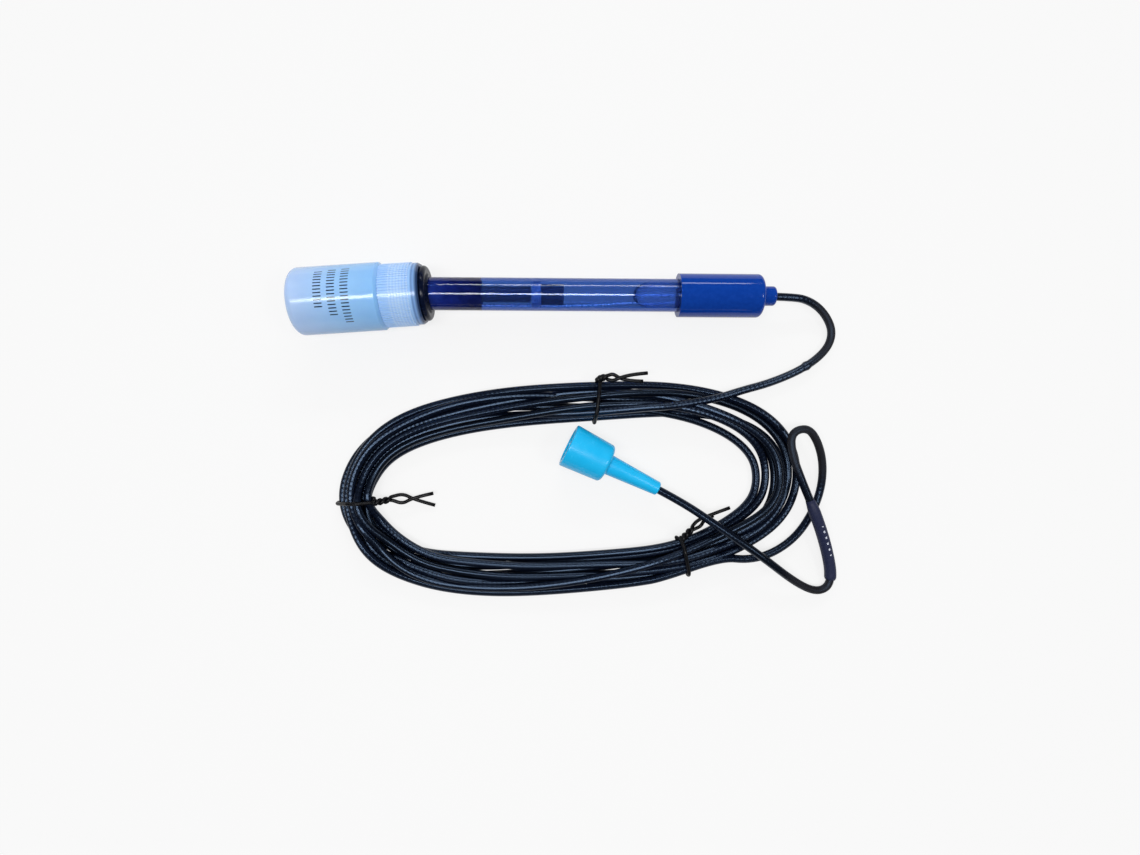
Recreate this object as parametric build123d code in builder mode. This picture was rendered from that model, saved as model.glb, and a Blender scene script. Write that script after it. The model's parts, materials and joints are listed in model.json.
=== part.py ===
from build123d import *
import os
from math import asin, atan, cos, degrees, pi, radians, sin, sqrt, tan

# A combination pH electrode lying on a table, its tip in a storage bottle, beside its coiled cable.
# X runs along the electrode from the bottle to the cap, Z is up and the table is at Z = 0.
# Stations along the shaft and along the bottle start at the middle of the collar's face.

# Clearances
glue_gap = 0.05
running_gap = 0.15
seat_gap = 0.1

# Shaft tube with its slotted guard at the tip
tube_d = 12.0
tube_wall = 1.0
tube_length = 120.0
tube_in_cap = 12.0
tip_depth = 26.2
guard_slot_width = 3.0
guard_slot_length = 9.0
guard_slot_pairs = 2
guard_edge = 0.4

# Glass stem and sensing bulb
stem_d = 6.0
stem_wall = 0.8
bulb_d = 8.4
bulb_wall = 0.5
bulb_recess = 1.5

# Pieces inside the shaft
junction_length = 5.0
junction_offset = 1.5
plug_station = 39.6
plug_length = 3.4
stem_cap_length = 8.3
stem_cap_wall = 0.7
stem_cap_end = 3.0
potting_station = 76.9
potting_dome = 7.1
measuring_wire_d = 0.8
measuring_wire_start = 6.0
reference_wire_d = 0.7
reference_wire_start = 15.0
reference_wire_offset = 4.2
reference_wire_bend = 58.0
wire_in_potting = 8.0
reference_wire_end_offset = 1.9

# Cap with the cable boss
cap_d = 16.0
cap_length = 31.1
cap_end_wall = 4.0
cap_edge = 1.6
boss_d = 7.2
boss_length = 5.5
boss_edge = 1.0

# Storage bottle, leaning sideways in its soft seal
bottle_d = 24.6
bottle_length = 46.9
bottle_wall = 1.2
bottle_base_edge = 2.6
bottle_lean = 3.8
shoulder_step = 1.0
neck_d = 19.2
neck_wall = 1.4

# Ribbed screw collar
collar_d = 23.0
collar_length = 14.1
collar_top = 2.2
collar_ring = 3.3
collar_face_d = 21.0
collar_chamfer = 1.0
rib_count = 72
rib_width = 0.5
rib_height = 0.35

# Rubber seal
seal_d = 20.0
seal_neck_d = 14.6
seal_out = 2.2
seal_edge = 1.3
seal_flange = 1.9
seal_lip_d = 15.0
seal_lip = 0.6

# Plug: where the middle of the boot's mouth lies, and the boot's size
plug_x = 11.6
plug_y = -53.8
plug_heading = -26.2
boot_mouth_d = 16.6
boot_shoulder_d = 14.6
boot_skirt = 16.4
boot_shoulder_edge = 1.6
boot_neck_d = 7.8
boot_end_d = 5.2
boot_length = 37.8
boot_end_edge = 0.7
boot_mouth_edge = 0.6
boot_neck_root = 0.8

# Bayonet nut
nut_d = 13.0
nut_bore_d = 9.9
nut_length = 11.2
nut_recess = 0.8
nut_lip = 2.0
cam_slot_width = 2.3
cam_entry = 3.0
cam_run = 5.0
cam_pitch = 2.2

# Plug body, insulator, pin, gasket, washer and ferrule
sleeve_d = 8.0
sleeve_wall = 0.7
sleeve_recess = 2.5
flange_d = 9.6
flange_length = 0.8
waist_d = 8.4
heel_d = 11.2
heel_length = 2.6
stem_barrel_d = 3.9
stem_barrel_length = 6.0
insulator_d = 5.6
insulator_length = 8.0
pin_d = 1.36
pin_recess = 2.8
gasket_length = 0.8
washer_length = 0.5
ferrule_d = 4.9
ferrule_length = 9.0

# Cable, marker sleeve and twist ties
cable_d = 3.0
cable_in_cap = 10.0
cable_straight = 6.5
shrink_wall = 0.65
tie_d = 1.4
coil_height = 5.8
coil_edge = 2.4
twist_d = 2.4
bend_share = 0.45

# Middle of the coil's bundle and its width there, counter-clockwise from the right
coil_stations = [
    (95.2, -66.0, 20.5),
    (89.0, -55.0, 18.4),
    (75.8, -43.5, 15.5),
    (51.6, -37.2, 15.5),
    (19.8, -37.4, 14.5),
    (-7.1, -38.9, 13.5),
    (-32.3, -42.6, 14.5),
    (-52.0, -48.8, 15.6),
    (-63.8, -57.3, 13.6),
    (-69.8, -69.8, 13.0),
    (-68.8, -80.6, 13.0),
    (-62.2, -90.2, 14.8),
    (-51.8, -97.3, 16.0),
    (-34.0, -102.4, 17.0),
    (-7.1, -104.2, 16.7),
    (30.0, -101.8, 13.8),
    (53.5, -98.5, 14.0),
    (72.0, -91.6, 15.0),
    (88.2, -80.7, 15.5),
]

# Radii and stations that follow from the sizes above
tube_r = tube_d / 2
bore_r = tube_r - tube_wall
stem_r = stem_d / 2
stem_bore_r = stem_r - stem_wall
bulb_r = bulb_d / 2
bulb_bore_r = bulb_r - bulb_wall
cap_r = cap_d / 2
bottle_r = bottle_d / 2
neck_r = neck_d / 2
collar_r = collar_d / 2
seal_r = seal_d / 2
seal_neck_r = seal_neck_d / 2
cable_r = cable_d / 2
tie_r = tie_d / 2
measuring_wire_r = measuring_wire_d / 2
reference_wire_r = reference_wire_d / 2
nut_r = nut_d / 2

tip_s = -tip_depth
cap_s = tip_s + tube_length
tube_end_s = cap_s + tube_in_cap
cap_end_s = cap_s + cap_length
boss_end_s = cap_end_s + boss_length
cavity_end_s = cap_end_s - cap_end_wall
plug_end_s = plug_station + plug_length
stem_cap_end_s = plug_end_s + stem_cap_length
stem_end_s = stem_cap_end_s - stem_cap_end - glue_gap
dome_s = potting_station + potting_dome

# The shaft slopes down so that the rim of the cap's far end touches the table
shaft_slope = asin((bottle_r - cap_r) / (cap_end_s - cap_edge))
shaft_dir = Vector(cos(shaft_slope), 0, -sin(shaft_slope))
lean = radians(bottle_lean)
bottle_dir = Vector(-cos(lean), -sin(lean), 0)

# The origin is on the table, under the middle of the electrode and bottle
bottle_reach = bottle_length * cos(lean) + (bottle_r - bottle_base_edge) * sin(lean)
shaft_reach = boss_end_s * cos(shaft_slope)
lean_reach = (bottle_length - bottle_base_edge) * sin(lean) + bottle_r * cos(lean)
seat = Vector((bottle_reach - shaft_reach) / 2, (lean_reach - collar_r) / 2, bottle_r)

shaft_axis = Axis(seat, shaft_dir)
shaft_side = Plane(origin=seat, x_dir=shaft_dir, z_dir=(0, -1, 0))
bottle_axis = Axis(seat, bottle_dir)
bottle_side = Plane(origin=seat, x_dir=bottle_dir, z_dir=bottle_dir.cross(Vector(0, 0, 1)))

# The plug lies on the side of its tapered skirt
plug_slope = atan((boot_mouth_d - boot_shoulder_d) / 2 / boot_skirt)
heading = radians(plug_heading)
plug_dir = Vector(
    cos(heading) * cos(plug_slope),
    sin(heading) * cos(plug_slope),
    -sin(plug_slope),
)
plug_seat = Vector(plug_x, plug_y, boot_mouth_d / 2 * cos(plug_slope))
plug_axis = Axis(plug_seat, plug_dir)
plug_across = Vector(-sin(heading), cos(heading), 0)
plug_side = Plane(origin=plug_seat, x_dir=plug_dir, z_dir=-plug_across)
plug_plan = Plane(origin=plug_seat, x_dir=plug_dir, z_dir=plug_dir.cross(plug_across))

# Stations along the plug, from the boot's mouth
nut_end_c = nut_recess + nut_length
lip_c = nut_end_c - nut_lip
flange_c = lip_c - washer_length - flange_length - 2 * glue_gap
heel_c = nut_end_c + running_gap
barrel_c = heel_c + heel_length
barrel_end_c = barrel_c + stem_barrel_length
ferrule_c = barrel_c + seat_gap
ferrule_end_c = ferrule_c + ferrule_length
cable_end_c = barrel_end_c + seat_gap
insulator_c = barrel_c - insulator_length


def shaft_point(station, sideways=0.0):
    return seat + shaft_dir * station + Vector(0, sideways, 0)


def shaft_section(station):
    """A plane across the shaft, facing the cap."""
    return Plane(origin=shaft_point(station), x_dir=(0, 1, 0), z_dir=shaft_dir)


def plug_point(station):
    return plug_seat + plug_dir * station


def bend_radii(route, closed=False):
    """The widest bend that each corner of a route has room for."""
    corners = [Vector(*point) for point in route]
    if closed:
        corners = [corners[-1], *corners, corners[0]]
    radii = []
    for before, corner, after in zip(corners, corners[1:], corners[2:]):
        arriving = corner - before
        leaving = after - corner
        shorter = min(arriving.length, leaving.length)
        half_turn = radians(arriving.get_angle(leaving)) / 2
        radii.append(bend_share * shorter / tan(half_turn))
    return radii


def round_rod(route, radius):
    """A round rod along straight runs and tangent arcs."""
    with BuildPart() as rod:
        with BuildLine() as path:
            FilletPolyline(*route, radius=bend_radii(route))
        with BuildSketch(Plane(origin=path.line @ 0, z_dir=path.line % 0)):
            Circle(radius)
        sweep(path=path.line)
    return rod.part


def coil_outline(side):
    """The coil's outline on its outer side, +1, or its inner side, -1."""
    points = []
    for i, (x, y, width) in enumerate(coil_stations):
        before = coil_stations[i - 1]
        after = coil_stations[(i + 1) % len(coil_stations)]
        along = Vector(after[0] - before[0], after[1] - before[1]).normalized()
        points.append((x + side * width / 2 * along.Y, y - side * width / 2 * along.X))
    return points


# Shaft tube: clear plastic, its last stretch slotted to guard the bulb
with BuildPart() as body_tube:
    with BuildSketch(shaft_side):
        with BuildLine():
            Polyline(
                (tip_s, bore_r),
                (tip_s, tube_r),
                (tube_end_s, tube_r),
                (tube_end_s, bore_r),
                close=True,
            )
        make_face()
    revolve(axis=shaft_axis)
    chamfer(body_tube.edges().sort_by(shaft_axis)[:2], guard_edge)
    with BuildSketch(shaft_section(tip_s)):
        with PolarLocations(0, guard_slot_pairs, angular_range=180):
            SlotOverall(tube_d * 2, guard_slot_width)
    extrude(amount=guard_slot_length, mode=Mode.SUBTRACT)

# Glass stem with the bulb blown on its end
bulb_s = tip_s + bulb_recess + bulb_r
bulb_neck_s = bulb_s + sqrt(bulb_r**2 - stem_r**2)
bulb_bore_neck_s = bulb_s + sqrt(bulb_bore_r**2 - stem_bore_r**2)
with BuildPart() as glass_stem:
    with BuildSketch(shaft_side):
        with BuildLine():
            ThreePointArc((bulb_s - bulb_r, 0), (bulb_s, bulb_r), (bulb_neck_s, stem_r))
            Polyline(
                (bulb_neck_s, stem_r),
                (stem_end_s, stem_r),
                (stem_end_s, stem_bore_r),
                (bulb_bore_neck_s, stem_bore_r),
            )
            ThreePointArc(
                (bulb_bore_neck_s, stem_bore_r),
                (bulb_s, bulb_bore_r),
                (bulb_s - bulb_bore_r, 0),
            )
            Line((bulb_s - bulb_bore_r, 0), (bulb_s - bulb_r, 0))
        make_face()
    revolve(axis=shaft_axis)

# Porous ring between the stem and the tube, just above the guard's slots
junction_s = tip_s + guard_slot_length + junction_offset
with BuildPart() as reference_junction:
    with BuildSketch(shaft_section(junction_s)):
        Circle(bore_r - glue_gap)
        Circle(stem_r + glue_gap, mode=Mode.SUBTRACT)
    extrude(amount=junction_length)

# Reference wire: beside the stem in the gel, through the disc and across to the potting
reference_route = [
    shaft_point(reference_wire_start, -reference_wire_offset),
    shaft_point(reference_wire_bend, -reference_wire_offset),
    shaft_point(dome_s + wire_in_potting, -reference_wire_end_offset),
]
with BuildPart() as reference_wire:
    add(round_rod(reference_route, reference_wire_r))

# Measuring wire: down the middle of the stem to the bulb
measuring_wire_s = bulb_s + measuring_wire_start
with BuildPart() as measuring_wire:
    with BuildSketch(shaft_section(measuring_wire_s)):
        Circle(measuring_wire_r)
    extrude(amount=dome_s + wire_in_potting - measuring_wire_s)
    fillet(measuring_wire.edges().sort_by(shaft_axis)[0], measuring_wire_r / 2)

# Clear disc between the gel chamber and the dry chamber
with BuildPart() as chamber_plug:
    with BuildSketch(shaft_section(plug_station)):
        Circle(bore_r - glue_gap)
        Circle(stem_r + glue_gap, mode=Mode.SUBTRACT)
    extrude(amount=plug_length)
    add(round_rod(reference_route, reference_wire_r + glue_gap), mode=Mode.SUBTRACT)

# Rubber cap on the top end of the stem
with BuildPart() as stem_cap:
    with BuildSketch(shaft_side):
        with BuildLine():
            Polyline(
                (plug_end_s + glue_gap, stem_r + glue_gap),
                (plug_end_s + glue_gap, stem_r + stem_cap_wall),
                (stem_cap_end_s, stem_r + stem_cap_wall),
                (stem_cap_end_s, measuring_wire_r + glue_gap),
                (stem_end_s + glue_gap, measuring_wire_r + glue_gap),
                (stem_end_s + glue_gap, stem_r + glue_gap),
                close=True,
            )
        make_face()
    revolve(axis=shaft_axis)

# Resin plug with a rounded end, filling the top of the tube and the cap
with BuildPart() as potting_plug:
    with BuildSketch(shaft_side):
        with BuildLine():
            EllipticalCenterArc((dome_s, 0), potting_dome, bore_r - glue_gap, start_angle=90, arc_size=90)
            Polyline(
                (potting_station, 0),
                (cavity_end_s - glue_gap, 0),
                (cavity_end_s - glue_gap, bore_r - glue_gap),
                (dome_s, bore_r - glue_gap),
            )
        make_face()
        with Locations((dome_s + wire_in_potting + glue_gap, 0)):
            Rectangle(
                wire_in_potting + 2 * potting_dome,
                2 * (measuring_wire_r + glue_gap),
                align=(Align.MAX, Align.CENTER),
                mode=Mode.SUBTRACT,
            )
        with Locations((cavity_end_s, 0)):
            Rectangle(
                cable_in_cap + 2 * glue_gap,
                2 * (cable_r + glue_gap),
                align=(Align.MAX, Align.CENTER),
                mode=Mode.SUBTRACT,
            )
    revolve(axis=shaft_axis)
    add(round_rod(reference_route, reference_wire_r + glue_gap), mode=Mode.SUBTRACT)

# Moulded cap: a socket for the tube, a cavity for the potting and a boss for the cable
with BuildPart() as electrode_cap:
    with BuildSketch(shaft_side):
        with BuildLine():
            FilletPolyline(
                (cap_s, tube_r + glue_gap),
                (cap_s, cap_r),
                (cap_end_s, cap_r),
                (cap_end_s, boss_d / 2),
                (boss_end_s, boss_d / 2),
                (boss_end_s, cable_r + glue_gap),
                (cavity_end_s, cable_r + glue_gap),
                (cavity_end_s, bore_r),
                (tube_end_s + glue_gap, bore_r),
                (tube_end_s + glue_gap, tube_r + glue_gap),
                radius=[0, 0, cap_edge, 0, boss_edge, 0, 0, 0, 0, 0],
                close=True,
            )
        make_face()
    revolve(axis=shaft_axis)

# Storage bottle
mouth_t = collar_top + seal_flange + 2 * seat_gap
shoulder_t = collar_length + seat_gap
with BuildPart() as storage_bottle:
    with BuildSketch(bottle_side):
        with BuildLine():
            FilletPolyline(
                (mouth_t, neck_r - neck_wall),
                (mouth_t, neck_r),
                (shoulder_t, neck_r),
                (shoulder_t, bottle_r - shoulder_step),
                (shoulder_t + shoulder_step, bottle_r),
                (bottle_length, bottle_r),
                (bottle_length, 0),
                (bottle_length - bottle_wall, 0),
                (bottle_length - bottle_wall, bottle_r - bottle_wall),
                (shoulder_t + 2 * shoulder_step + bottle_wall, bottle_r - bottle_wall),
                (shoulder_t, neck_r - neck_wall),
                radius=[0, 0, 0, 0, 0, bottle_base_edge, 0, 0, bottle_base_edge - bottle_wall, 0, 0],
                close=True,
            )
        make_face()
    revolve(axis=bottle_axis)

# Screw collar: a plain bevelled ring at the face and a band of fine ribs
rib_root_r = collar_r - rib_height
with BuildPart() as bottle_collar:
    with BuildSketch(bottle_side):
        with BuildLine():
            Polyline(
                (0, seal_neck_r + running_gap),
                (0, collar_face_d / 2),
                (collar_chamfer, rib_root_r),
                (collar_length, rib_root_r),
                (collar_length, neck_r + running_gap),
                (collar_top, neck_r + running_gap),
                (collar_top, seal_neck_r + running_gap),
                close=True,
            )
        make_face()
    revolve(axis=bottle_axis)
    with BuildSketch(Plane(origin=seat + bottle_dir * collar_ring, z_dir=bottle_dir)):
        with PolarLocations(rib_root_r, rib_count):
            Rectangle(2 * rib_height, rib_width)
    extrude(amount=collar_length - collar_ring)

# Rubber seal: a grommet held in the collar's face, bored along the shaft
with BuildPart() as rubber_seal:
    with BuildSketch(bottle_side):
        with BuildLine():
            FilletPolyline(
                (-seal_out - seal_lip, 0),
                (-seal_out - seal_lip, seal_lip_d / 2 - seal_lip),
                (-seal_out, seal_lip_d / 2),
                (-seal_out, seal_r),
                (-seat_gap, seal_r),
                (-seat_gap, seal_neck_r),
                (collar_top + seat_gap, seal_neck_r),
                (collar_top + seat_gap, neck_r - seat_gap),
                (collar_top + seat_gap + seal_flange, neck_r - seat_gap),
                (collar_top + seat_gap + seal_flange, 0),
                radius=[0, 0, 0, seal_edge, seal_edge / 2, 0, 0, 0, 0, 0],
                close=True,
            )
        make_face()
    revolve(axis=bottle_axis)
    with BuildSketch(shaft_section(0)):
        Circle(tube_r + glue_gap)
    extrude(amount=2 * collar_length, both=True, mode=Mode.SUBTRACT)

# Soft boot: a tapered skirt over the nut and a slim neck on the cable
with BuildPart() as connector_boot:
    with BuildSketch(plug_side):
        with BuildLine():
            FilletPolyline(
                (0, nut_r),
                (0, boot_mouth_d / 2),
                (boot_skirt, boot_shoulder_d / 2),
                (boot_skirt, boot_neck_d / 2),
                (boot_length, boot_end_d / 2),
                (boot_length, cable_r + running_gap),
                (ferrule_end_c + running_gap, cable_r + running_gap),
                (ferrule_end_c + running_gap, ferrule_d / 2 + running_gap),
                (barrel_c + running_gap, ferrule_d / 2 + running_gap),
                (barrel_c + running_gap, heel_d / 2 + running_gap),
                (nut_end_c, heel_d / 2 + running_gap),
                (nut_end_c, nut_r),
                radius=[0, boot_mouth_edge, boot_shoulder_edge, boot_neck_root, boot_end_edge] + 7 * [0],
                close=True,
            )
        make_face()
    revolve(axis=plug_axis)

# Bayonet nut: each cam slot has a straight entry, a slanting run and a round seat
with BuildPart() as bayonet_nut:
    with BuildSketch(plug_side):
        with BuildLine():
            Polyline(
                (nut_recess, nut_bore_d / 2),
                (nut_recess, nut_r),
                (nut_end_c, nut_r),
                (nut_end_c, waist_d / 2 + running_gap),
                (lip_c, waist_d / 2 + running_gap),
                (lip_c, nut_bore_d / 2),
                close=True,
            )
        make_face()
    revolve(axis=plug_axis)
    cam_slope = degrees(atan(cam_pitch / cam_run))
    with BuildSketch(plug_plan):
        with Locations((nut_recess, -cam_run / 2)):
            Rectangle(cam_entry, cam_slot_width, align=(Align.MIN, Align.CENTER))
        with Locations((nut_recess + cam_entry + cam_pitch / 2, 0)):
            SlotCenterToCenter(sqrt(cam_run**2 + cam_pitch**2), cam_slot_width, rotation=90 - cam_slope)
    extrude(amount=nut_d, mode=Mode.SUBTRACT)
    with BuildSketch(plug_plan):
        with Locations((nut_recess, cam_run / 2)):
            Rectangle(cam_entry, cam_slot_width, align=(Align.MIN, Align.CENTER))
        with Locations((nut_recess + cam_entry + cam_pitch / 2, 0)):
            SlotCenterToCenter(sqrt(cam_run**2 + cam_pitch**2), cam_slot_width, rotation=cam_slope - 90)
    extrude(amount=-nut_d, mode=Mode.SUBTRACT)

# Metal plug body: contact sleeve, flange, waist for the nut, heel and crimp barrel
with BuildPart() as plug_body:
    with BuildSketch(plug_side):
        with BuildLine():
            Polyline(
                (sleeve_recess, sleeve_d / 2 - sleeve_wall),
                (sleeve_recess, sleeve_d / 2),
                (flange_c, sleeve_d / 2),
                (flange_c, flange_d / 2),
                (flange_c + flange_length, flange_d / 2),
                (flange_c + flange_length, waist_d / 2),
                (heel_c, waist_d / 2),
                (heel_c, heel_d / 2),
                (barrel_c, heel_d / 2),
                (barrel_c, stem_barrel_d / 2),
                (barrel_end_c, stem_barrel_d / 2),
                (barrel_end_c, pin_d / 2 + glue_gap),
                (barrel_c, pin_d / 2 + glue_gap),
                (barrel_c, insulator_d / 2 + glue_gap),
                (flange_c, insulator_d / 2 + glue_gap),
                (flange_c, sleeve_d / 2 - sleeve_wall),
                close=True,
            )
        make_face()
    revolve(axis=plug_axis)

# Insulator in the body, bored for the pin
with BuildPart() as plug_insulator:
    with BuildSketch(plug_side):
        with BuildLine():
            Polyline(
                (insulator_c, pin_d / 2 + glue_gap),
                (insulator_c, insulator_d / 2),
                (barrel_c - glue_gap, insulator_d / 2),
                (barrel_c - glue_gap, pin_d / 2 + glue_gap),
                close=True,
            )
        make_face()
    revolve(axis=plug_axis)

# Centre pin with a rounded nose
with BuildPart() as centre_pin:
    with BuildSketch(Plane(origin=plug_point(pin_recess), z_dir=plug_dir)):
        Circle(pin_d / 2)
    extrude(amount=barrel_end_c - pin_recess)
    fillet(centre_pin.edges().sort_by(plug_axis)[0], pin_d / 3)

# Rubber gasket round the contact sleeve, against the flange
with BuildPart() as plug_gasket:
    with BuildSketch(Plane(origin=plug_point(flange_c - glue_gap), z_dir=-plug_dir)):
        Circle(flange_d / 2)
        Circle(sleeve_d / 2 + glue_gap, mode=Mode.SUBTRACT)
    extrude(amount=gasket_length)

# Spring washer between the flange and the nut's lip
with BuildPart() as spring_washer:
    with BuildSketch(Plane(origin=plug_point(lip_c - glue_gap), z_dir=-plug_dir)):
        Circle(flange_d / 2)
        Circle(waist_d / 2 + running_gap, mode=Mode.SUBTRACT)
    extrude(amount=washer_length)

# Ferrule: wide over the crimp barrel, narrow on the cable
with BuildPart() as crimp_ferrule:
    with BuildSketch(plug_side):
        with BuildLine():
            Polyline(
                (ferrule_c, stem_barrel_d / 2 + glue_gap),
                (ferrule_c, ferrule_d / 2),
                (ferrule_end_c, ferrule_d / 2),
                (ferrule_end_c, cable_r + glue_gap),
                (barrel_end_c + glue_gap, cable_r + glue_gap),
                (barrel_end_c + glue_gap, stem_barrel_d / 2 + glue_gap),
                close=True,
            )
        make_face()
    revolve(axis=plug_axis)

# Cable lead: out of the boss, round and back to the coil
lead_route = [
    shaft_point(cavity_end_s - cable_in_cap),
    shaft_point(boss_end_s + cable_straight),
    (109.5, -0.6, 3.6),
    (115.4, -10.6, 1.7),
    (111.6, -21.2, 1.6),
    (100.6, -26.6, 1.6),
    (88.6, -29.6, 2.2),
    (77.6, -33.2, 4.0),
    (67.6, -36.4, 5.2),
]
with BuildPart() as cable_lead:
    add(round_rod(lead_route, cable_r))

# Cable coil: the outer shape of the tied bundle, resting on the ties
coil_z = tie_d + seat_gap
coil_top_z = coil_z + coil_height
tie_corner = coil_edge + seat_gap + tie_r
with BuildPart() as cable_coil:
    with BuildSketch(Plane.XY.offset(coil_z)):
        for side, mode in ((1, Mode.ADD), (-1, Mode.SUBTRACT)):
            outline = coil_outline(side)
            with BuildLine():
                FilletPolyline(*outline, radius=bend_radii(outline, closed=True), close=True)
            make_face(mode=mode)
    extrude(amount=coil_height)
    level_edges = cable_coil.edges().group_by(Axis.Z)
    fillet(level_edges[0] + level_edges[-1], coil_edge)

# Cable tail: out of the coil, up into a standing loop, down and across the coil to the plug
tail_route = [
    (69.6, -96.4, 4.8),
    (80.0, -97.6, 4.2),
    (89.8, -95.2, 3.0),
    (98.8, -89.2, 1.9),
    (105.0, -80.4, 1.6),
    (108.4, -70.6, 2.2),
    (108.0, -60.8, 5.0),
    (104.6, -52.4, 8.6),
    (100.0, -47.2, 11.0),
    (93.4, -49.2, 11.8),
    (94.0, -57.4, 11.6),
    (98.4, -68.4, 10.8),
    (103.6, -79.6, 9.2),
    (108.6, -91.0, 6.0),
    (111.9, -102.2, 3.8),
    (111.3, -108.2, 3.2),
    (106.2, -110.6, 3.8),
    (97.2, -105.8, 6.8),
    (83.5, -95.3, 10.4),
    (69.0, -85.2, 10.4),
    plug_point(boot_length + cable_straight),
    plug_point(cable_end_c),
]
with BuildPart() as cable_tail:
    add(round_rod(tail_route, cable_r))

# Marker sleeve shrunk on the tail where it comes down from the loop
shrink_start_count = 12
shrink_end_count = 15
shrink_bore_r = cable_r + glue_gap
shrink_route = [
    (Vector(*tail_route[shrink_start_count - 1]) + Vector(*tail_route[shrink_start_count])) * 0.5,
    *tail_route[shrink_start_count:shrink_end_count],
    (Vector(*tail_route[shrink_end_count - 1]) + Vector(*tail_route[shrink_end_count])) * 0.5,
]
shrink_radii = bend_radii(tail_route)[shrink_start_count - 1 : shrink_end_count - 1]
with BuildPart() as heat_shrink_sleeve:
    with BuildLine() as shrink_path:
        FilletPolyline(*shrink_route, radius=shrink_radii)
    with BuildSketch(Plane(origin=shrink_path.line @ 0, z_dir=shrink_path.line % 0)):
        Circle(shrink_bore_r + shrink_wall)
        Circle(shrink_bore_r, mode=Mode.SUBTRACT)
    sweep(path=shrink_path.line)


def twist_tie(middle, outward, width, twist, tails):
    """A wire tie: a loop round the bundle, a twist and two free tails."""
    across = Vector(*outward).normalized()
    along = Vector(0, 0, 1).cross(across)
    half = width / 2 + seat_gap + tie_r
    top = coil_top_z + seat_gap + tie_r
    with BuildPart() as tie:
        with BuildLine(Plane(origin=middle, x_dir=across, z_dir=-along)) as loop:
            FilletPolyline(
                (-half, tie_r),
                (half, tie_r),
                (half, top),
                (-half, top),
                radius=tie_corner,
                close=True,
            )
        with BuildSketch(Plane(origin=loop.line @ 0, z_dir=loop.line % 0)):
            Circle(tie_r)
        sweep(path=loop.line)
        add(round_rod(twist, twist_d / 2))
        for tail in tails:
            add(round_rod([twist[-1], *tail], tie_r))
    return tie.part


# Left tie, twisted inside the coil
with BuildPart() as twist_tie_left:
    add(
        twist_tie(
            middle=(-69.1, -75.4),
            outward=(-1, -0.09),
            width=13.2,
            twist=[(-61.4, -75.6, 5.6), (-59.0, -75.4, 5.0), (-55.5, -74.3, 3.6)],
            tails=[
                [(-51.5, -72.6, 2.4), (-47.6, -75.0, 1.4), (-39.7, -77.2, 0.9)],
                [(-51.5, -76.4, 3.2), (-47.6, -74.0, 3.6), (-40.0, -72.4, 2.8)],
            ],
        )
    )

# Top tie, twisted on the outside of the coil
with BuildPart() as twist_tie_top:
    add(
        twist_tie(
            middle=(22.2, -37.5),
            outward=(0.1, 1),
            width=15.0,
            twist=[(22.9, -29.4, 7.0), (24.2, -27.6, 8.4), (27.6, -27.2, 9.4)],
            tails=[
                [(31.0, -26.2, 9.6), (35.6, -27.4, 9.2), (41.1, -26.6, 8.8)],
                [(31.0, -28.4, 9.6), (35.0, -29.4, 9.4), (39.8, -30.2, 9.2)],
            ],
        )
    )

# Bottom tie, twisted inside the coil
with BuildPart() as twist_tie_bottom:
    add(
        twist_tie(
            middle=(55.5, -97.6),
            outward=(0.25, -1),
            width=15.8,
            twist=[(53.3, -89.0, 5.4), (55.0, -87.4, 4.8), (58.2, -85.6, 4.0)],
            tails=[
                [(61.0, -82.8, 3.8), (65.6, -80.6, 3.4), (73.0, -77.8, 3.8)],
                [(62.6, -85.4, 3.4), (65.0, -81.6, 4.6), (70.0, -78.0, 5.0)],
            ],
        )
    )

parts = {
    "body_tube": body_tube,
    "glass_stem": glass_stem,
    "reference_junction": reference_junction,
    "reference_wire": reference_wire,
    "measuring_wire": measuring_wire,
    "chamber_plug": chamber_plug,
    "stem_cap": stem_cap,
    "potting_plug": potting_plug,
    "electrode_cap": electrode_cap,
    "storage_bottle": storage_bottle,
    "bottle_collar": bottle_collar,
    "rubber_seal": rubber_seal,
    "connector_boot": connector_boot,
    "bayonet_nut": bayonet_nut,
    "plug_body": plug_body,
    "plug_insulator": plug_insulator,
    "centre_pin": centre_pin,
    "plug_gasket": plug_gasket,
    "spring_washer": spring_washer,
    "crimp_ferrule": crimp_ferrule,
    "cable_lead": cable_lead,
    "cable_coil": cable_coil,
    "cable_tail": cable_tail,
    "heat_shrink_sleeve": heat_shrink_sleeve,
    "twist_tie_left": twist_tie_left,
    "twist_tie_top": twist_tie_top,
    "twist_tie_bottom": twist_tie_bottom,
}
os.makedirs("parts", exist_ok=True)
for name, piece in parts.items():
    piece.part.label = name
    export_step(piece.part, f"parts/{name}.step")

# The bends of the cable, and its volume against section times length
for name, route in (("cable_lead", lead_route), ("cable_tail", tail_route)):
    bends = bend_radii(route)
    with BuildLine() as line:
        FilletPolyline(*route, radius=bends)
    length = line.wire().length
    filled = parts[name].part.volume / (pi * cable_r**2 * length)
    print(name, "bend radii", [round(bend, 1) for bend in bends])
    print(name, "length", round(length, 1), "volume over section times length", round(filled, 5))
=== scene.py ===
"""A pH electrode in its storage bottle, with its coiled cable, on a white floor."""

import json
import math

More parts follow.
